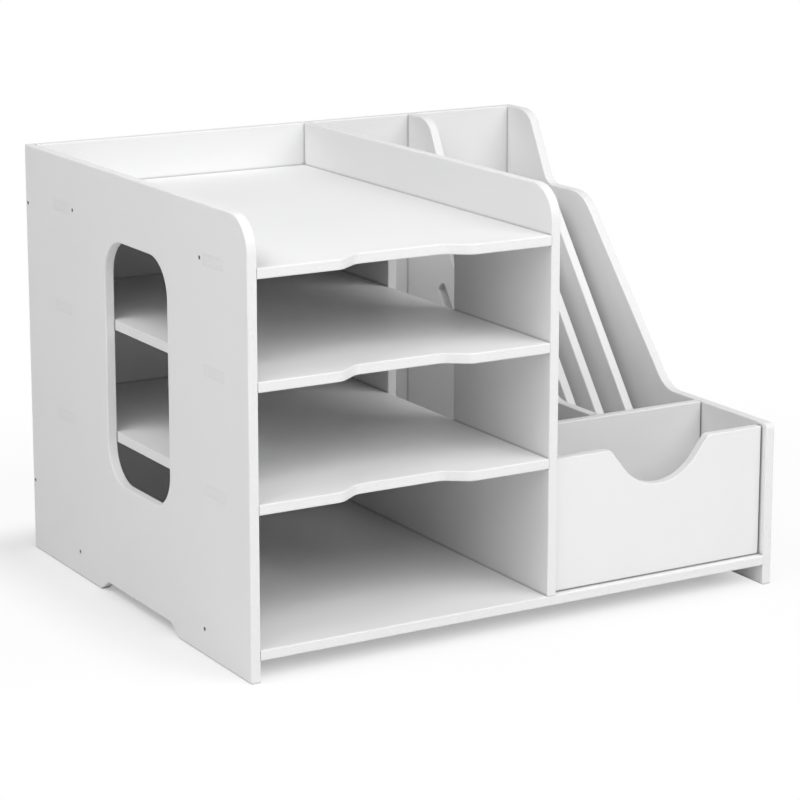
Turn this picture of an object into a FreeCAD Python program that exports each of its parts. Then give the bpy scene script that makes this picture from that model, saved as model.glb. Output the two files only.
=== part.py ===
import FreeCAD, Part
import os
import re

import Sketcher
from FreeCAD import Rotation, Vector

# Desk organizer of flat white boards: four trays on the left, a stepped file rack on the right
# and a pull-out drawer in front of the rack. Millimetres, +Z up, front facing -Y.
# The origin is at the centre of the footprint, on the surface that the organizer stands on.

doc = FreeCAD.newDocument("desk_organizer")

# ---------------------------------------------------------------- driving dimensions

SIZES = {
    # boards and overall size
    "board": 7,                  # thickness of every board
    "body_depth": 344,           # front edge of the side panels to the rear face
    "body_height": 300,
    "tray_width": 217,           # clear width of the trays
    "rack_width": 175,           # clear width of the file rack and the drawer bay
    "edge_round": 0.9,           # easing of the visible edges
    "corner_radius": 23,         # top front corner of the two tall panels
    "corner_small": 4,
    # clear heights of the trays, from the top down: the lowest one takes what is left
    "top_bay": 32,
    "upper_bay": 65,
    "middle_bay": 72,
    "deck_height": 14.5,         # floor to the underside of the bottom board
    # finger recess in the front edge of a shelf
    "recess_outer": 96,
    "recess_inner": 64,
    "recess_depth": 11.5,
    "recess_radius": 12,
    # shelf tabs in their mortises
    "tab_front": 33,             # front edge to the front tab
    "tab_rear": 42,              # back panel to the rear tab
    "tab_length": 28,
    "tab_clearance": 0.06,
    # windows of the two tall panels: the tray divider's is a little shorter
    "window_front": 114,
    "window_length": 96.5,
    "divider_window_front": 121.5,
    "divider_window_length": 90.5,
    "window_bottom": 84,
    "window_height": 170,
    "window_radius": 26,
    # relief between the feet of the outer panels
    "foot_front": 104,
    "foot_span": 124,
    "foot_run": 12,
    "foot_lift": 8,
    # stepped outline of the right end panel and the tall partition
    "low_height": 117,
    "low_length": 121,           # end panel's low stretch, from the front edge
    "partition_low_length": 137, # the same of the partition
    "step_drop": 53.5,           # top edge down to the step
    "step_length": 48,
    "rise_run": 28,
    "top_length": 36,
    "low_radius": 26,
    "step_radius": 30,
    "rise_radius": 14,
    "top_radius": 20,
    # slanted slots in the tall partition
    "slot_width": 10,
    "slot_radius": 2.5,
    "slot_length": 58,
    "slot_slope": 54,            # degrees from level
    "front_slot_inset": 84.5,    # centre of the slot to the rear face
    "front_slot_drop": 58.5,     # centre of the slot below the step
    "rear_slot_inset": 73,
    "rear_slot_drop": 96,
    # sloping file dividers
    "divider_pitch": 23.5,
    "middle_divider_shift": 2.5, # left of the middle of the bay
    "divider_foot": 6,
    "divider_top_length": 96,    # along the top, to the rear face
    "divider_radius": 16,
    # drawer
    "drawer_length": 78,
    "drawer_setback": 5,
    "drawer_side_gap": 0.8,
    "drawer_floor_gap": 0.3,
    "drawer_rear_gap": 2,
    "drawer_front_drop": 2.5,    # front below the top of the back
    "drawer_side_drop": 38,      # side walls below the top of the back
    "cutout_depth": 28.5,
    "cutout_angle": 52,          # degrees from level
    "cutout_radius": 38,
    "cutout_corner": 4,
    # cylinder-head screws and plain dowels
    "screw_length": 25,
    "screw_radius": 0.9,
    "head_radius": 1.4,
    "head_height": 1.6,
    "head_sink": 0.4,            # head below the surface of the board
    "socket_radius": 0.8,
    "socket_depth": 0.9,
    "fit_clearance": 0.05,
    "dowel_radius": 2,
    "dowel_length": 16,
    "dowel_in_front": 4,
    # where the screws sit
    "tab_screw_gap": 4.5,
    "back_screw_rise": 52,       # above the floor
    "back_screw_drop": 42,       # below the top edge
    "rack_screw_rise": 70,       # above the floor
    "rack_screw_drop": 24.5,     # below the step
    "deck_screw_setback": 60,
    "rack_screw_setback": 118,
    "deck_screw_inset": 74,      # from the rear face
    "deck_screw_margin": 60,     # from the outer panels
    "drawer_screw_low": 16,
    "drawer_screw_high": 42,
    "drawer_screw_inset": 40,
}

sheet = doc.addObject("Spreadsheet::Sheet", "Sizes")
for row, (alias, size) in enumerate(SIZES.items(), start=1):
    sheet.set(f"A{row}", alias)
    sheet.set(f"B{row}", str(size))
    sheet.setAlias(f"B{row}", alias)
doc.recompute()

ALIAS = re.compile(r"\b(" + "|".join(SIZES) + r")\b")
parts = {}


def bound(text):
    """Write each size's alias in an expression as a reference to its sheet cell."""
    return ALIAS.sub(r"Sizes.\1", text)


def number(text):
    """Value of an expression with the present sizes."""
    return float(sheet.evalExpression(bound(text)))


# Lines that several boards share, in mm from the front, the left outer face and the floor.
FRONT = "-body_depth/2"
LEFT = "-(3*board + tray_width + rack_width)/2"
INNER_DEPTH = "(body_depth - board)"
DECK_TOP = "(deck_height + board)"
TOP_Z = "(body_height - top_bay - board)"
MIDDLE_Z = f"({TOP_Z} - upper_bay - board)"
LOWER_Z = f"({MIDDLE_Z} - middle_bay - board)"
STEP_Z = "(body_height - step_drop)"
SHELF_HEIGHTS = {"lower_shelf": LOWER_Z, "middle_shelf": MIDDLE_Z, "top_shelf": TOP_Z}
DIVIDER_X = "(board + tray_width)"
RACK_X = f"({DIVIDER_X} + board)"
RIGHT_X = f"({RACK_X} + rack_width)"
PARTITION_X = f"({RACK_X} + rack_width/2 - board/2)"
RACK_FRONT = "(drawer_setback + drawer_length + drawer_rear_gap)"
REAR_TAB = f"({INNER_DEPTH} - tab_rear - tab_length)"
TAB_STARTS = ("tab_front", REAR_TAB)
TAB_SCREWS = ("(tab_front + tab_length + tab_screw_gap)", f"({REAR_TAB} - tab_screw_gap)")
FILE_BAY_X = f"({PARTITION_X} + board)"
FILE_MIDDLE_X = f"(({FILE_BAY_X} + {RIGHT_X})/2 - board/2)"
FILE_DIVIDERS = {
    "left_file_divider": f"({FILE_MIDDLE_X} - divider_pitch)",
    "middle_file_divider": f"({FILE_MIDDLE_X} - middle_divider_shift)",
    "right_file_divider": f"({FILE_MIDDLE_X} + divider_pitch)",
}
DRAWER_X = f"({RACK_X} + drawer_side_gap)"
DRAWER_Z = f"({DECK_TOP} + drawer_floor_gap)"
DRAWER_WIDTH = "(rack_width - 2*drawer_side_gap)"
DRAWER_HEIGHT = f"(low_height - {DRAWER_Z})"
DRAWER_BACK_Y = "(drawer_setback + drawer_length - board)"

# ---------------------------------------------------------------- ways of making a board

NEAR = 0.01     # two places this near are the same
APART = 0.1     # a place must lie this far beyond a line to count as past it

# A board lies in one origin plane and grows along that plane's positive axis.
PLANE_AXIS = {"YZ_Plane": Vector(1, 0, 0), "XZ_Plane": Vector(0, 1, 0), "XY_Plane": Vector(0, 0, 1)}


def flat(plane, point):
    """Coordinates of a point of the body within its sketch plane."""
    return {
        "YZ_Plane": (point.y, point.z),
        "XZ_Plane": (point.x, point.z),
        "XY_Plane": (point.x, point.y),
    }[plane]


def draw_loops(body, plane, name, loops):
    """Sketch closed loops of straight lines, every corner bound to the sheet."""
    sketch = body.newObject("Sketcher::SketchObject", name)
    support = next(item for item in body.Origin.OriginFeatures if item.Role == plane)
    sketch.AttachmentSupport = (support, [""])
    sketch.MapMode = "FlatFace"
    first = 0
    for loop in loops:
        points = [Vector(number(u), number(v), 0) for u, v in loop]
        for start, end in zip(points, points[1:] + points[:1]):
            sketch.addGeometry(Part.LineSegment(start, end))
        for index, corner in enumerate(loop):
            line = first + index
            following = first + (index + 1) % len(loop)
            sketch.addConstraint(Sketcher.Constraint("Coincident", line, 2, following, 1))
            for kind, text in zip(("DistanceX", "DistanceY"), corner):
                rule = Sketcher.Constraint(kind, -1, 1, line, 1, number(text))
                place = sketch.addConstraint(rule)
                sketch.setExpression(f"Constraints[{place}]", bound(text))
        first += len(loop)
    return sketch


def new_board(name, plane, loops, place, thickness="board"):
    """A body with one pad: loops in the plane, placed at three expressions."""
    body = doc.addObject("PartDesign::Body", name)
    pad = body.newObject("PartDesign::Pad", name + "_pad")
    pad.Profile = draw_loops(body, plane, name + "_outline", loops)
    pad.setExpression("Length", bound(thickness))
    pad.Reversed = plane == "XZ_Plane"
    body.Tip = pad
    for axis, text in zip("xyz", place):
        body.setExpression(f"Placement.Base.{axis}", bound(text))
    doc.recompute()
    return body


def add_fillet(body, radius, chosen):
    """Round the edges of the body's tip that the test chooses."""
    tip = body.Tip
    names = [f"Edge{i}" for i, edge in enumerate(tip.Shape.Edges, start=1) if chosen(edge)]
    fillet = body.newObject("PartDesign::Fillet", f"{body.Name}_fillet")
    fillet.Base = (tip, names)
    fillet.setExpression("Radius", bound(radius))
    body.Tip = fillet
    doc.recompute()


def round_corners(body, plane, radius, corners):
    """Round the outline's corners at the given places in the plane."""
    places = [(number(u), number(v)) for u, v in corners]

    def at_corner(edge):
        ends = [flat(plane, vertex.Point) for vertex in edge.Vertexes]
        if len(ends) != 2 or max(abs(ends[0][0] - ends[1][0]), abs(ends[0][1] - ends[1][1])) > NEAR:
            return False
        return any(abs(ends[0][0] - u) + abs(ends[0][1] - v) < NEAR for u, v in places)

    add_fillet(body, radius, at_corner)


def ease_edges(body, plane, visible):
    """Ease the edges of both broad faces where the test on (u, v) says they are visible."""
    axis = PLANE_AXIS[plane]
    faces = [0.0, number("board")]

    def on_face(edge):
        middle = edge.valueAt((edge.FirstParameter + edge.LastParameter)/2)
        points = [vertex.Point for vertex in edge.Vertexes] + [middle]
        levels = [point.dot(axis) for point in points]
        if max(levels) - min(levels) > NEAR:
            return False
        if all(abs(levels[0] - face) > NEAR for face in faces):
            return False
        return visible(*flat(plane, middle))

    add_fillet(body, "edge_round", on_face)


def rectangle(u, v, width, height):
    """Corners of an upright rectangle from its lower left corner and size."""
    return [
        (u, v),
        (f"{u} + {width}", v),
        (f"{u} + {width}", f"{v} + {height}"),
        (u, f"{v} + {height}"),
    ]


def cut_mortises(body, loops):
    """Cut the loops right through an upright board that stands in the YZ plane."""
    before = body.Shape.Volume
    pocket = body.newObject("PartDesign::Pocket", body.Name + "_mortises")
    pocket.Profile = draw_loops(body, "YZ_Plane", body.Name + "_mortise_outline", loops)
    pocket.Type = "ThroughAll"
    pocket.Reversed = True
    body.Tip = pocket
    doc.recompute()
    if body.Shape.Volume > before - 1:
        raise RuntimeError(f"the mortises of {body.Name} cut nothing")


# ---------------------------------------------------------------- screws and dowels


def screw_shape(clearance=0.0):
    """Screw from the board's surface down along -Z, or the hole for it with a clearance."""
    sink = number("head_sink")
    head_height = number("head_height")
    length = number("screw_length")
    head_radius = number("head_radius") + clearance
    shank_radius = number("screw_radius") + clearance
    down = Vector(0, 0, -1)
    if clearance:
        head = Part.makeCylinder(head_radius, sink + head_height, Vector(0, 0, 0), down)
        shank = Part.makeCylinder(shank_radius, sink + length + clearance, Vector(0, 0, 0), down)
        return head.fuse(shank).removeSplitter()
    head = Part.makeCylinder(head_radius, head_height, Vector(0, 0, -sink), down)
    shank = Part.makeCylinder(shank_radius, length, Vector(0, 0, -sink), down)
    hexagon = Part.makeCircle(number("socket_radius"), Vector(0, 0, -sink)).discretize(7)
    socket = Part.Face(Part.makePolygon(hexagon)).extrude(Vector(0, 0, -number("socket_depth")))
    return head.fuse(shank).removeSplitter().cut(socket)


def dowel_shape(clearance=0.0):
    """Dowel from the drawer front's blind hole back along -Z, or the hole for it."""
    start = number("dowel_in_front") + clearance
    length = number("dowel_length") + 2*clearance
    return Part.makeCylinder(number("dowel_radius") + clearance, length, Vector(0, 0, start),
                             Vector(0, 0, -1))


def fasteners(name, shape_of, outward, places):
    """A group of like fasteners as one node, and the matching holes as a cutting tool."""
    turn = Rotation(Vector(0, 0, 1), outward)
    spots = [Vector(*(number(text) for text in place)) for place in places]
    groups = []
    for suffix, clearance in (("", 0.0), ("_holes", number("fit_clearance"))):
        model = shape_of(clearance)
        copies = []
        for spot in spots:
            copy = model.copy()
            copy.Placement = FreeCAD.Placement(spot, turn)
            copies.append(copy)
        group = doc.addObject("Part::Feature", name + suffix)
        group.Shape = Part.makeCompound(copies)
        groups.append(group)
    parts[name] = groups[0]
    return groups[1]


def finish_board(name, body, holes):
    """The finished board: its body, drilled with each group of holes that meets it."""
    if not holes:
        parts[name] = body
        return
    tool = doc.addObject("Part::Compound", name + "_drills")
    tool.Links = holes
    board = doc.addObject("Part::Cut", name + "_drilled")
    board.Base = body
    board.Tool = tool
    parts[name] = board


def across(text):
    """X of a place given from the left outer face."""
    return f"{LEFT} + {text}"


def along(text):
    """Y of a place given from the front edge."""
    return f"{FRONT} + {text}"


BACK_CENTRE = along("body_depth - board/2")
DECK_CENTRE = "deck_height + board/2"
BACK_FACE = "body_depth/2"
DRAWER_BACK_FACE = along("drawer_setback + drawer_length")
RACK_BOARDS = [DIVIDER_X, PARTITION_X, *FILE_DIVIDERS.values()]

left_screw_places = []
right_screw_places = []
for height in ("back_screw_rise", "body_height - back_screw_drop"):
    left_screw_places.append((LEFT, BACK_CENTRE, height))
    right_screw_places.append((f"-({LEFT})", BACK_CENTRE, height))
for distance in TAB_SCREWS:
    left_screw_places.append((LEFT, along(distance), DECK_CENTRE))
    left_screw_places.append((LEFT, along(distance), f"{TOP_Z} + board/2"))
    right_screw_places.append((f"-({LEFT})", along(distance), DECK_CENTRE))

back_screw_places = []
for board_x in RACK_BOARDS:
    for height in ("rack_screw_rise", f"{STEP_Z} - rack_screw_drop"):
        back_screw_places.append((across(f"{board_x} + board/2"), BACK_FACE, height))
for shelf_z in SHELF_HEIGHTS.values():
    back_screw_places.append((across("board + tray_width/2"), BACK_FACE, f"{shelf_z} + board/2"))
for board_x in ("board + deck_screw_margin", f"{RIGHT_X} - deck_screw_margin"):
    back_screw_places.append((across(board_x), BACK_FACE, DECK_CENTRE))

deck_screw_places = []
for board_x in RACK_BOARDS:
    setback = "deck_screw_setback" if board_x == DIVIDER_X else "rack_screw_setback"
    for distance in (setback, "body_depth - deck_screw_inset"):
        spot = (across(f"{board_x} + board/2"), along(distance), "deck_height")
        deck_screw_places.append(spot)

drawer_screw_places = []
drawer_dowel_places = []
for wall_x in (f"{DRAWER_X} + board/2", f"{DRAWER_X} + {DRAWER_WIDTH} - board/2"):
    for height in ("drawer_screw_low", "drawer_screw_high"):
        wall_z = f"{DRAWER_Z} + {height}"
        drawer_screw_places.append((across(wall_x), DRAWER_BACK_FACE, wall_z))
        drawer_dowel_places.append((across(wall_x), along("drawer_setback + board"), wall_z))
for wall_x in (f"{DRAWER_X} + drawer_screw_inset",
               f"{DRAWER_X} + {DRAWER_WIDTH} - drawer_screw_inset"):
    wall_z = f"{DRAWER_Z} + board/2"
    drawer_screw_places.append((across(wall_x), DRAWER_BACK_FACE, wall_z))
    drawer_dowel_places.append((across(wall_x), along("drawer_setback + board"), wall_z))

to_left = Vector(-1, 0, 0)
to_right = Vector(1, 0, 0)
to_front = Vector(0, -1, 0)
to_rear = Vector(0, 1, 0)
downward = Vector(0, 0, -1)
left_holes = fasteners("left_panel_screws", screw_shape, to_left, left_screw_places)
right_holes = fasteners("right_panel_screws", screw_shape, to_right, right_screw_places)
back_holes = fasteners("back_panel_screws", screw_shape, to_rear, back_screw_places)
deck_holes = fasteners("bottom_board_screws", screw_shape, downward, deck_screw_places)
drawer_holes = fasteners("drawer_screws", screw_shape, to_rear, drawer_screw_places)
dowel_holes = fasteners("drawer_dowels", dowel_shape, to_front, drawer_dowel_places)

# ---------------------------------------------------------------- outer panels and tray divider

FOOT_RELIEF = [
    ("foot_front", "0"),
    ("foot_front + foot_run", "foot_lift"),
    ("foot_front + foot_span - foot_run", "foot_lift"),
    ("foot_front + foot_span", "0"),
]
WINDOW = rectangle("window_front", "window_bottom", "window_length", "window_height")
DIVIDER_WINDOW = rectangle("divider_window_front", "window_bottom", "divider_window_length",
                           "window_height")


def shelf_mortises():
    """Outlines of the holes that take the tabs of the three shelves."""
    loops = []
    for shelf_z in SHELF_HEIGHTS.values():
        for tab_start in TAB_STARTS:
            loops.append(rectangle(f"{tab_start} - tab_clearance", f"{shelf_z} - tab_clearance",
                                   "tab_length + 2*tab_clearance", "board + 2*tab_clearance"))
    return loops


# Left side panel: stands on the floor on two feet, with a rounded window and the shelves' tabs.
outline = [("0", "0"), *FOOT_RELIEF, ("body_depth", "0"), ("body_depth", "body_height"),
           ("0", "body_height")]
left_panel = new_board("left_panel", "YZ_Plane", [outline, WINDOW], (LEFT, FRONT, "0"))
round_corners(left_panel, "YZ_Plane", "corner_radius", [("0", "body_height")])
round_corners(left_panel, "YZ_Plane", "window_radius", WINDOW)
round_corners(left_panel, "YZ_Plane", "corner_small", FOOT_RELIEF[1:3])
ease_edges(left_panel, "YZ_Plane", lambda u, v: True)
cut_mortises(left_panel, shelf_mortises())
finish_board("left_side_panel", left_panel, [left_holes])

# Tray divider: the same outline without feet, standing on the bottom board.
outline = [("0", DECK_TOP), (INNER_DEPTH, DECK_TOP), (INNER_DEPTH, "body_height"),
           ("0", "body_height")]
divider = new_board("divider", "YZ_Plane", [outline, DIVIDER_WINDOW],
                    (across(DIVIDER_X), FRONT, "0"))
round_corners(divider, "YZ_Plane", "corner_radius", [("0", "body_height")])
round_corners(divider, "YZ_Plane", "window_radius", DIVIDER_WINDOW)
deck_top = number(DECK_TOP)
inner_depth = number(INNER_DEPTH)
ease_edges(divider, "YZ_Plane", lambda u, v: v > deck_top + APART and u < inner_depth - APART)
cut_mortises(divider, shelf_mortises())
finish_board("tray_divider", divider, [back_holes, deck_holes])

# Right end panel: low beside the drawer, then two slopes up to full height at the back.
TOP_FRONT = "(body_depth - top_length)"
STEP_REAR = f"({TOP_FRONT} - rise_run)"
STEP_FRONT = f"({STEP_REAR} - step_length)"
UPPER_STEPS = [(TOP_FRONT, "body_height"), (STEP_REAR, STEP_Z), (STEP_FRONT, STEP_Z)]
PANEL_STEPS = [*UPPER_STEPS, ("low_length", "low_height")]
STEP_RADII = ("top_radius", "rise_radius", "step_radius", "low_radius")


def round_steps(body, steps):
    """Round the four bends of the stepped outline."""
    for corner, radius in zip(steps, STEP_RADII):
        round_corners(body, "YZ_Plane", radius, [corner])


outline = [("0", "0"), *FOOT_RELIEF, ("body_depth", "0"), ("body_depth", "body_height"),
           *PANEL_STEPS, ("0", "low_height")]
right_panel = new_board("right_panel", "YZ_Plane", [outline], (across(RIGHT_X), FRONT, "0"))
round_steps(right_panel, PANEL_STEPS)
round_corners(right_panel, "YZ_Plane", "corner_small", [*FOOT_RELIEF[1:3], ("0", "low_height")])
ease_edges(right_panel, "YZ_Plane", lambda u, v: True)
finish_board("right_end_panel", right_panel, [right_holes])

# ---------------------------------------------------------------- bottom board, back and shelves

CLEAR_WIDTH = "(tray_width + board + rack_width)"

# Bottom board: runs across between the outer panels, a finger's width above the floor.
outline = rectangle("0", "0", CLEAR_WIDTH, INNER_DEPTH)
deck = new_board("deck", "XY_Plane", [outline], (across("board"), FRONT, "deck_height"))
ease_edges(deck, "XY_Plane", lambda u, v: v < APART)
finish_board("bottom_board", deck, [left_holes, right_holes, back_holes, deck_holes])

# Back panel: closes the back between the outer panels, level with their tops.
outline = rectangle("0", "0", CLEAR_WIDTH, "(body_height - deck_height)")
back = new_board("back", "XZ_Plane", [outline],
                 (across("board"), "body_depth/2 - board", "deck_height"))
back_top = number("body_height - deck_height")
ease_edges(back, "XZ_Plane", lambda u, v: v > back_top - APART)
finish_board("back_panel", back, [left_holes, right_holes, back_holes])

# Shelves: a tab at each corner goes through the panel beside it and ends flush with its far face.
TRAY_RIGHT = "(board + tray_width)"
TRAY_MIDDLE = "(board + tray_width/2)"
RECESS = [
    (f"{TRAY_MIDDLE} - recess_outer/2", "0"),
    (f"{TRAY_MIDDLE} - recess_inner/2", "recess_depth"),
    (f"{TRAY_MIDDLE} + recess_inner/2", "recess_depth"),
    (f"{TRAY_MIDDLE} + recess_outer/2", "0"),
]
shelf_outline = [("board", "0"), *RECESS, (TRAY_RIGHT, "0")]
for tab_start in TAB_STARTS:
    tab_end = f"{tab_start} + tab_length"
    shelf_outline += [(TRAY_RIGHT, tab_start), (f"{TRAY_RIGHT} + board", tab_start),
                      (f"{TRAY_RIGHT} + board", tab_end), (TRAY_RIGHT, tab_end)]
shelf_outline += [(TRAY_RIGHT, INNER_DEPTH), ("board", INNER_DEPTH)]
for tab_start in reversed(TAB_STARTS):
    tab_end = f"{tab_start} + tab_length"
    shelf_outline += [("board", tab_end), ("0", tab_end), ("0", tab_start), ("board", tab_start)]

recess_depth = number("recess_depth")
for name, shelf_z in SHELF_HEIGHTS.items():
    shelf = new_board(name + "_board", "XY_Plane", [shelf_outline], (LEFT, FRONT, shelf_z))
    round_corners(shelf, "XY_Plane", "recess_radius", RECESS)
    ease_edges(shelf, "XY_Plane", lambda u, v: v < recess_depth + APART)
    shelf_holes = [left_holes, back_holes] if name == "top_shelf" else [back_holes]
    finish_board(name, shelf, shelf_holes)

# ---------------------------------------------------------------- file rack

SLOT_CENTRES = [(f"(body_depth - {slot}_inset)", f"({STEP_Z} - {slot}_drop)")
                for slot in ("front_slot", "rear_slot")]


def slanted_slot(centre_y, centre_z):
    """Corners of a slot that leans back at the slot's slope."""
    corners = []
    for end, side in ((-1, -1), (1, -1), (1, 1), (-1, 1)):
        half_length = f"{end}*slot_length/2"
        half_width = f"{side}*slot_width/2"
        y = f"{centre_y} + {half_length}*cos(slot_slope*1deg) - {half_width}*sin(slot_slope*1deg)"
        z = f"{centre_z} + {half_length}*sin(slot_slope*1deg) + {half_width}*cos(slot_slope*1deg)"
        corners.append((y, z))
    return corners


# Tall partition: steps up like the end panel, from behind the drawer, with two slanted slots.
PARTITION_STEPS = [*UPPER_STEPS, ("partition_low_length", "low_height")]
slots = [slanted_slot(*centre) for centre in SLOT_CENTRES]
outline = [(RACK_FRONT, DECK_TOP), (INNER_DEPTH, DECK_TOP), (INNER_DEPTH, "body_height"),
           *PARTITION_STEPS, (RACK_FRONT, "low_height")]
partition = new_board("partition", "YZ_Plane", [outline, *slots],
                      (across(PARTITION_X), FRONT, "0"))
round_steps(partition, PARTITION_STEPS)
round_corners(partition, "YZ_Plane", "slot_radius", slots[0] + slots[1])
ease_edges(partition, "YZ_Plane", lambda u, v: v > deck_top + APART and u < inner_depth - APART)
finish_board("file_partition", partition, [back_holes, deck_holes])

# File dividers: straight sloping front edge from the foot up to the step's height.
DIVIDER_TOP = ("(body_depth - divider_top_length)", STEP_Z)
outline = [(RACK_FRONT, DECK_TOP), (INNER_DEPTH, DECK_TOP), (INNER_DEPTH, STEP_Z), DIVIDER_TOP,
           (RACK_FRONT, f"{DECK_TOP} + divider_foot")]
for name, board_x in FILE_DIVIDERS.items():
    leaf = new_board(name + "_board", "YZ_Plane", [outline], (across(board_x), FRONT, "0"))
    round_corners(leaf, "YZ_Plane", "divider_radius", [DIVIDER_TOP])
    ease_edges(leaf, "YZ_Plane", lambda u, v: v > deck_top + APART and u < inner_depth - APART)
    finish_board(name, leaf, [back_holes, deck_holes])

# ---------------------------------------------------------------- drawer

APEX_DEPTH = "(cutout_depth + cutout_radius*(1/cos(cutout_angle*1deg) - 1))"
CUTOUT_HALF = f"({APEX_DEPTH}/tan(cutout_angle*1deg))"
WALL_LENGTH = "(drawer_length - 2*board)"
FRONT_HEIGHT = f"({DRAWER_HEIGHT} - drawer_front_drop)"
CUTOUT = [
    (f"{DRAWER_WIDTH}/2 + {CUTOUT_HALF}", FRONT_HEIGHT),
    (f"{DRAWER_WIDTH}/2", f"{FRONT_HEIGHT} - {APEX_DEPTH}"),
    (f"{DRAWER_WIDTH}/2 - {CUTOUT_HALF}", FRONT_HEIGHT),
]

# Drawer front: a round-bottomed finger cut-out in its top edge.
outline = [("0", "0"), (DRAWER_WIDTH, "0"), (DRAWER_WIDTH, FRONT_HEIGHT), *CUTOUT,
           ("0", FRONT_HEIGHT)]
face = new_board("drawer_face", "XZ_Plane", [outline],
                 (across(DRAWER_X), along("drawer_setback"), DRAWER_Z))
round_corners(face, "XZ_Plane", "cutout_radius", [CUTOUT[1]])
round_corners(face, "XZ_Plane", "cutout_corner", [CUTOUT[0], CUTOUT[2]])
ease_edges(face, "XZ_Plane", lambda u, v: True)
finish_board("drawer_front", face, [dowel_holes])

# Drawer back: plain board, a little higher than the front.
outline = rectangle("0", "0", DRAWER_WIDTH, DRAWER_HEIGHT)
rear_wall = new_board("drawer_rear_wall", "XZ_Plane", [outline],
                      (across(DRAWER_X), along(DRAWER_BACK_Y), DRAWER_Z))
drawer_height = number(DRAWER_HEIGHT)
ease_edges(rear_wall, "XZ_Plane", lambda u, v: v > drawer_height - APART)
finish_board("drawer_back", rear_wall, [drawer_holes])

# Drawer sides: much lower than the front, between it and the back.
side_height = number(f"{DRAWER_HEIGHT} - drawer_side_drop")
outline = rectangle("0", "0", WALL_LENGTH, f"({DRAWER_HEIGHT} - drawer_side_drop)")
DRAWER_SIDES = {
    "drawer_left_side": DRAWER_X,
    "drawer_right_side": f"({DRAWER_X} + {DRAWER_WIDTH} - board)",
}
for name, board_x in DRAWER_SIDES.items():
    wall = new_board(name + "_board", "YZ_Plane", [outline],
                     (across(board_x), along("drawer_setback + board"), DRAWER_Z))
    ease_edges(wall, "YZ_Plane", lambda u, v: v > side_height - APART)
    finish_board(name, wall, [drawer_holes, dowel_holes])

# Drawer bottom: set in flush between the four walls.
outline = rectangle("0", "0", f"({DRAWER_WIDTH} - 2*board)", WALL_LENGTH)
floor = new_board("drawer_floor", "XY_Plane", [outline],
                  (across(f"{DRAWER_X} + board"), along("drawer_setback + board"), DRAWER_Z))
finish_board("drawer_bottom", floor, [drawer_holes, dowel_holes])

# ---------------------------------------------------------------- check and export

doc.recompute()
for name, part in parts.items():
    part.Label = name
for item in doc.Objects:
    if "Invalid" in item.State or "Error" in item.State:
        raise RuntimeError(f"{item.Name} failed: {item.State}")
for name, part in parts.items():
    if part.Shape.isNull() or not part.Shape.isValid() or not part.Shape.Solids:
        raise RuntimeError(f"{name} has no valid solid")

os.makedirs("parts", exist_ok=True)
for name, part in parts.items():
    part.Shape.exportStep(f"parts/{name}.step")
    print(f"{name}: {len(part.Shape.Solids)} solids, {part.Shape.Volume/1000:.2f} cm3")
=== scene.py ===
import math

import bmesh
import bpy
from mathutils import Matrix, Vector

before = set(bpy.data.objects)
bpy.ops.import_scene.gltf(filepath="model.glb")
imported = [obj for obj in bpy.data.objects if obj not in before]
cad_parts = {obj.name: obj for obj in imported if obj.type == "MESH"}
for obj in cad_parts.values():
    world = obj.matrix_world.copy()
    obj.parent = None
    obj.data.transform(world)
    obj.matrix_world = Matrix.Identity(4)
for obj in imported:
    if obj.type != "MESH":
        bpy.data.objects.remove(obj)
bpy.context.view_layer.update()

# ---------------------------------------------------------------- bottom board and back panel
# The first two boards to be joined: the bottom board lies between the side panels and the back
# panel stands behind it, both screwed. Like all the others they are 7 mm fibreboard pressed with
# a smooth white satin foil, and their sawn edges are eased, sealed and sprayed white.

WHITE_FOIL = (0.785, 0.785, 0.785, 1)
CLOUDED_FOIL = (0.768, 0.769, 0.772, 1)
SPRAYED_EDGE = (0.775, 0.775, 0.773, 1)
SWOLLEN_FIBRE = (0.735, 0.735, 0.730, 1)
RUBBED_RIM = (0.690, 0.690, 0.685, 1)
# Painted shade: the next colour darkens the corners and joints where boards meet, standing in for
# shade.
JOINT_PAINTED_SHADE = (0.500, 0.497, 0.488, 1)
PAINTED_SHADE_REACH = 0.0028
JOINT_SAMPLES = 8                       # rays that feel for a neighbour at each spot
OPEN_AND_SHUT = (0.86, 0.52)            # open share at which the painted shade starts, and is full
CLOUDS_PER_METRE = 8.0
CLOUDED = (0.35, 0.70)                  # noise at which the clouding starts, and is full
RUBS_PER_METRE = 60.0
RUBBED = (0.40, 0.80)
RUB_SHARE = 0.6
SMEARS_PER_METRE = 14.0
PEEL_PER_METRE = 700.0                  # orange peel in the foil and the sprayed edge
FIBRES_PER_METRE = 420.0
FIBRES_FLATTER = 4                      # times as many across the sheet as along it
RAISED = (0.45, 0.75)
FOIL_ROUGHNESS = 0.50
SMEAR_ROUGHNESS = 0.12
EDGE_ROUGHNESS = 0.16
FOIL_SPECULAR = 0.25
FIBRE_RELIEF = 3.0                      # against the orange peel's
RELIEF_DEPTH = 0.00015
RELIEF_STRENGTH = 0.10
BROAD_FACE = (0.90, 0.995)              # how squarely a spot faces along the axis
SAWN_EDGE = (0.30, 0.05)
AXIS_INDEX = {"x": 0, "y": 1, "z": 2}


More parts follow.
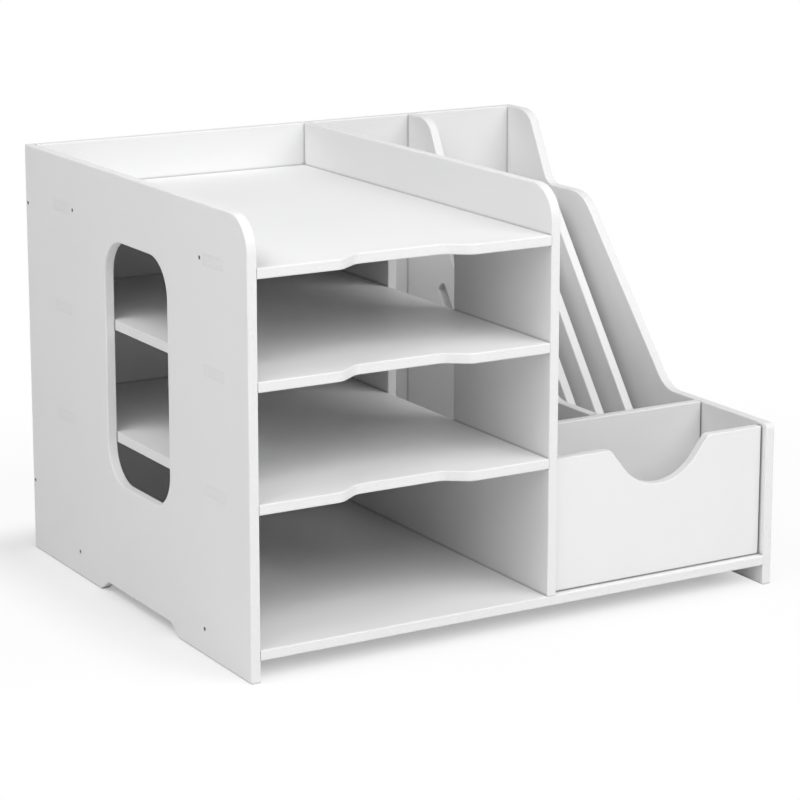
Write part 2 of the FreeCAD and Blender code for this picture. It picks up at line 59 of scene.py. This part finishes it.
class Nodes:
    """A short way to write a material's node tree."""

    def __init__(self, name):
        self.material = bpy.data.materials.new(name)
        self.material.use_nodes = True
        self.tree = self.material.node_tree
        self.shader = self.tree.nodes["Principled BSDF"]

    def add(self, kind, inputs=None, **settings):
        node = self.tree.nodes.new("ShaderNode" + kind)
        for key, value in settings.items():
            setattr(node, key, value)
        for key, value in (inputs or {}).items():
            self.plug(node.inputs[key], value)
        return node

    def plug(self, socket, value):
        if isinstance(value, bpy.types.NodeSocket):
            self.tree.links.new(value, socket)
        else:
            socket.default_value = value

    def math(self, operation, *values):
        node = self.add("Math", operation=operation)
        for socket, value in zip(node.inputs, values):
            self.plug(socket, value)
        return node.outputs[0]

    def mix(self, factor, first, second):
        node = self.add("MixRGB", {"Fac": factor, "Color1": first, "Color2": second})
        return node.outputs[0]

    def step(self, value, low, high):
        node = self.add("MapRange", {"Value": value, "From Min": low, "From Max": high},
                        interpolation_type="SMOOTHSTEP")
        return node.outputs[0]

    def noise(self, place, scale, detail=2.0, stretch=(1, 1, 1), shift=(0, 0, 0)):
        mapping = self.add("Mapping", {"Vector": place, "Scale": stretch, "Location": shift})
        node = self.add("TexNoise", {"Vector": mapping.outputs[0], "Scale": scale,
                                     "Detail": detail})
        return node.outputs["Fac"]


def white_board(name, axis, sheet):
    """Foiled board whose broad faces look along the axis, cut from the numbered sheet."""
    m = Nodes(name)
    coords = m.add("TexCoord")
    place = coords.outputs["Object"]
    split = m.add("SeparateXYZ", {"Vector": coords.outputs["Normal"]})
    facing = m.math("ABSOLUTE", split.outputs[AXIS_INDEX[axis]])
    on_face = m.step(facing, *BROAD_FACE)
    on_edge = m.step(facing, *SAWN_EDGE)
    on_rim = m.math("SUBTRACT", m.math("SUBTRACT", 1.0, on_face), on_edge)

    cloud = m.step(m.noise(place, CLOUDS_PER_METRE, detail=3.0, shift=(sheet, 0, 0)), *CLOUDED)
    foil = m.mix(cloud, WHITE_FOIL, CLOUDED_FOIL)
    layers = [1, 1, 1]
    layers[AXIS_INDEX[axis]] = FIBRES_FLATTER
    fibres = m.step(m.noise(place, FIBRES_PER_METRE, detail=3.0, stretch=layers), *RAISED)
    sprayed = m.mix(fibres, SPRAYED_EDGE, SWOLLEN_FIBRE)
    rub = m.math("MULTIPLY", on_rim, m.step(m.noise(place, RUBS_PER_METRE, detail=4.0), *RUBBED))
    colour = m.mix(on_edge, foil, sprayed)
    colour = m.mix(m.math("MULTIPLY", rub, RUB_SHARE), colour, RUBBED_RIM)
    # Painted shade: within a few millimetres of another board the colour darkens, standing in for
    # the shade in corners and joints.
    corner_openness = m.add("AmbientOcclusion", {"Distance": PAINTED_SHADE_REACH}, samples=JOINT_SAMPLES)
    painted_corner_shade = m.step(corner_openness.outputs["AO"], *OPEN_AND_SHUT)
    colour = m.mix(painted_corner_shade, colour, JOINT_PAINTED_SHADE)
    m.plug(m.shader.inputs["Base Color"], colour)

    smear = m.noise(place, SMEARS_PER_METRE, detail=4.0, shift=(0, sheet, 0))
    smeared = m.math("MULTIPLY", smear, SMEAR_ROUGHNESS)
    roughness = m.math("ADD", FOIL_ROUGHNESS - SMEAR_ROUGHNESS/2, smeared)
    roughness = m.math("ADD", roughness, m.math("MULTIPLY", on_edge, EDGE_ROUGHNESS))
    m.plug(m.shader.inputs["Roughness"], roughness)

    peel = m.noise(place, PEEL_PER_METRE)
    grain = m.math("MULTIPLY", m.math("MULTIPLY", fibres, on_edge), FIBRE_RELIEF)
    bump = m.add("Bump", {"Height": m.math("ADD", peel, grain), "Strength": RELIEF_STRENGTH,
                          "Distance": RELIEF_DEPTH})
    m.plug(m.shader.inputs["Normal"], bump.outputs[0])
    m.shader.inputs["Specular IOR Level"].default_value = FOIL_SPECULAR
    return m.material


def finish(material, *names):
    """Give carried-over nodes their material."""
    for name in names:
        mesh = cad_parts[name].data
        mesh.materials.clear()
        mesh.materials.append(material)


finish(white_board("bottom_foil", "z", 1), "bottom_board")
finish(white_board("back_foil", "y", 2), "back_panel")

# ---------------------------------------------------------------- side panels and tray divider
# Three upright boards that carry the trays and close the right end. The two tall ones have a
# window cut through them and mortises for the shelves' tabs; the right one steps down to the front.

finish(white_board("side_foil", "x", 3), "left_side_panel", "right_end_panel")
finish(white_board("divider_foil", "x", 4), "tray_divider")

# ---------------------------------------------------------------- shelves
# Three shelves that can't be moved, with a finger recess in the front edge. Their tabs go
# through the panels on both sides and end flush with the far faces.

finish(white_board("shelf_foil", "z", 5), "lower_shelf", "middle_shelf", "top_shelf")

# ---------------------------------------------------------------- file rack
# A tall stepped partition with two slanted slots, and three sloping file dividers beside it.
# They butt against the bottom board and the back panel and are screwed from below and behind.

finish(white_board("partition_foil", "x", 6), "file_partition")
finish(white_board("file_foil", "x", 7), "left_file_divider", "middle_file_divider",
       "right_file_divider")

# ---------------------------------------------------------------- drawer
# A small open box that slides on the bottom board in front of the rack. Its front has a round
# finger cut-out, its sides are low, and it is doweled in front and screwed from behind.

finish(white_board("drawer_front_foil", "y", 8), "drawer_front", "drawer_back")
finish(white_board("drawer_side_foil", "x", 9), "drawer_left_side", "drawer_right_side")
finish(white_board("drawer_floor_foil", "z", 10), "drawer_bottom")

# ---------------------------------------------------------------- screws and dowels
# Thin blackened cylinder-head screws with a hexagon socket, sunk just under the surface of the
# boards, and bare beech dowels that stay hidden in the drawer's joints.

BLACK_OXIDE = (0.060, 0.060, 0.062, 1)
WORN_STEEL = (0.360, 0.360, 0.370, 1)
BEECH = (0.62, 0.46, 0.30, 1)
BEECH_PORE = (0.50, 0.35, 0.21, 1)
WORN_SPOTS_PER_METRE = 900.0
WORN = (0.40, 0.66)                     # noise at which the wear starts, and is full
STEEL_ROUGHNESS = 0.32
WORN_ROUGHNESS = 0.2
STEEL_METALLIC = 0.8
PITS_PER_METRE = 2500.0
PIT_DEPTH = 0.0001
PIT_STRENGTH = 0.2
GRAIN_PER_METRE = 300.0
GRAIN_STRETCH = (1, 0.12, 1)
PORED = (0.35, 0.70)
BEECH_ROUGHNESS = 0.55
PORE_ROUGHNESS = 0.15


def screw_steel():
    """Blackened steel, worn to bare metal in small spots."""
    m = Nodes("screw_steel")
    place = m.add("TexCoord").outputs["Object"]
    worn = m.step(m.noise(place, WORN_SPOTS_PER_METRE, detail=4.0), *WORN)
    m.plug(m.shader.inputs["Base Color"], m.mix(worn, BLACK_OXIDE, WORN_STEEL))
    roughness = m.math("ADD", STEEL_ROUGHNESS, m.math("MULTIPLY", worn, WORN_ROUGHNESS))
    m.plug(m.shader.inputs["Roughness"], roughness)
    bump = m.add("Bump", {"Height": m.noise(place, PITS_PER_METRE), "Strength": PIT_STRENGTH,
                          "Distance": PIT_DEPTH})
    m.plug(m.shader.inputs["Normal"], bump.outputs[0])
    m.shader.inputs["Metallic"].default_value = STEEL_METALLIC
    return m.material


def beech():
    """Bare turned beech with its grain along the dowel."""
    m = Nodes("beech")
    place = m.add("TexCoord").outputs["Object"]
    grain = m.step(m.noise(place, GRAIN_PER_METRE, detail=4.0, stretch=GRAIN_STRETCH), *PORED)
    m.plug(m.shader.inputs["Base Color"], m.mix(grain, BEECH, BEECH_PORE))
    roughness = m.math("ADD", BEECH_ROUGHNESS, m.math("MULTIPLY", grain, PORE_ROUGHNESS))
    m.plug(m.shader.inputs["Roughness"], roughness)
    return m.material


finish(screw_steel(), "left_panel_screws", "right_panel_screws", "back_panel_screws",
       "bottom_board_screws", "drawer_screws")
finish(beech(), "drawer_dowels")

# ---------------------------------------------------------------- floor, light and camera
# A pale floor that runs on into a white backdrop and keeps a faint soft shadow of the organizer.
# Four square soft boxes stand from its left round to its front right, and a weak white world
# lightens the shadows.

FLOOR_SIZE = 30.0
FLOOR_WHITE = (0.85, 0.85, 0.85, 1)
FLOOR_GREY = (0.83, 0.83, 0.83, 1)
FLOOR_ROUGHNESS = 0.9
MOTTLES_PER_METRE = 3.0
SHADOW_MIDDLE = (-0.024, 0.021, 0)      # of the box under the organizer that is shaded most
SHADOW_HALF = (0.1925, 0.151, 0)
CONTACT_SHADOW = 0.070                  # metres out from the box to the dark shadow's end
FAINT_SHADOW = 0.45                     # and to the end of the faint one around it
WHITE_SHARES = (0.33, 0.90, 1.0)        # how white the floor is under, near and far from it
AMBIENT = 0.15                          # the world's light on the organizer

floor_mesh = bpy.data.meshes.new("floor")
shape = bmesh.new()
bmesh.ops.create_grid(shape, x_segments=1, y_segments=1, size=FLOOR_SIZE/2)
shape.to_mesh(floor_mesh)
shape.free()
floor = bpy.data.objects.new("floor", floor_mesh)
bpy.context.scene.collection.objects.link(floor)


def seen_as_backdrop(m):
    """1 for rays that show the backdrop itself, directly or in something shiny or clear."""
    path = m.add("LightPath")
    shiny = m.math("MAXIMUM", path.outputs["Is Glossy Ray"], path.outputs["Is Transmission Ray"])
    return m.math("MAXIMUM", path.outputs["Is Camera Ray"], shiny)


m = Nodes("floor_white")
place = m.add("TexCoord").outputs["Object"]
mottle = m.noise(place, MOTTLES_PER_METRE)
m.plug(m.shader.inputs["Base Color"], m.mix(mottle, FLOOR_WHITE, FLOOR_GREY))
m.shader.inputs["Roughness"].default_value = FLOOR_ROUGHNESS
white = m.add("Emission", {"Color": (1, 1, 1, 1), "Strength": 1.0})
offset = m.add("VectorMath", {0: place, 1: SHADOW_MIDDLE}, operation="SUBTRACT").outputs[0]
offset = m.add("VectorMath", {0: offset}, operation="ABSOLUTE").outputs[0]
offset = m.add("VectorMath", {0: offset, 1: SHADOW_HALF}, operation="SUBTRACT").outputs[0]
offset = m.add("VectorMath", {0: offset, 1: (0, 0, 0)}, operation="MAXIMUM").outputs[0]
distance = m.add("VectorMath", {0: offset}, operation="LENGTH").outputs["Value"]
under, near, beyond = WHITE_SHARES
near_rise = m.math("MULTIPLY", m.step(distance, 0.0, CONTACT_SHADOW), near - under)
far_rise = m.math("MULTIPLY", m.step(distance, CONTACT_SHADOW, FAINT_SHADOW), beyond - near)
share = m.math("ADD", under, m.math("ADD", near_rise, far_rise))
share = m.math("MULTIPLY", seen_as_backdrop(m), share)
blend = m.add("MixShader", {0: share, 1: m.shader.outputs[0], 2: white.outputs[0]})
m.plug(m.tree.nodes["Material Output"].inputs["Surface"], blend.outputs[0])
floor_mesh.materials.append(m.material)


class WorldNodes(Nodes):
    """The same short way for the world's node tree."""

    def __init__(self, name):
        self.world = bpy.data.worlds.new(name)
        self.world.use_nodes = True
        self.tree = self.world.node_tree
        self.shader = self.tree.nodes["Background"]


w = WorldNodes("studio")
bpy.context.scene.world = w.world
w.shader.inputs["Color"].default_value = (1, 1, 1, 1)
backdrop = w.math("MULTIPLY", seen_as_backdrop(w), 1.0 - AMBIENT)
w.plug(w.shader.inputs["Strength"], w.math("ADD", AMBIENT, backdrop))

LAMP_DISTANCE = 2.2
LAMP_SIZE = 1.3
LAMPS_AIM_AT = (0, 0, 0.15)             # the middle of the organizer


def lamp(name, bearing, height, power):
    """A square soft box at a bearing from the front and a height, both in degrees."""
    light = bpy.data.lights.new(name, "AREA")
    light.shape = "SQUARE"
    light.size = LAMP_SIZE
    light.energy = power
    holder = bpy.data.objects.new(name, light)
    bpy.context.scene.collection.objects.link(holder)
    around = math.radians(bearing)
    up = math.radians(height)
    aim = Vector((math.sin(around)*math.cos(up), -math.cos(around)*math.cos(up), math.sin(up)))
    holder.location = Vector(LAMPS_AIM_AT) + aim*LAMP_DISTANCE
    holder.rotation_euler = (-aim).to_track_quat("-Z", "Y").to_euler()


lamp("high_left_lamp", -80, 54, 22.0)
lamp("left_lamp", -38, 36, 11.0)
lamp("front_lamp", 0, 42, 12.0)
lamp("right_lamp", 35, 39, 19.3)

# The camera stands in front and to the left, a little above the organizer.
FRAME_PIXELS = 800
FOCAL_PIXELS = 2754
SHIFT_PIXELS = -100
SENSOR_WIDTH = 36
CAMERA_REACH = 60
CAMERA_BEARING = 30.55                  # degrees to the right of straight in
CAMERA_DROP = 11.96                     # degrees below level
CAMERA_ROLL = 0.04
CAMERA_PLACE = (-0.9662, -1.6437, 0.5993)

camera_data = bpy.data.cameras.new("camera")
camera = bpy.data.objects.new("camera", camera_data)
bpy.context.scene.collection.objects.link(camera)
bpy.context.scene.camera = camera
camera_data.sensor_width = SENSOR_WIDTH
camera_data.lens = SENSOR_WIDTH*FOCAL_PIXELS/FRAME_PIXELS
camera_data.shift_y = SHIFT_PIXELS/FRAME_PIXELS
camera_data.clip_end = CAMERA_REACH
bearing = math.radians(CAMERA_BEARING)
drop = math.radians(CAMERA_DROP)
forward = Vector((math.sin(bearing)*math.cos(drop), math.cos(bearing)*math.cos(drop),
                  -math.sin(drop)))
turn = forward.to_track_quat("-Z", "Y").to_matrix().to_4x4()
roll = Matrix.Rotation(math.radians(CAMERA_ROLL), 4, "Z")
camera.rotation_euler = (turn @ roll).to_euler()
camera.location = CAMERA_PLACE

bpy.context.scene.view_settings.view_transform = "Standard"
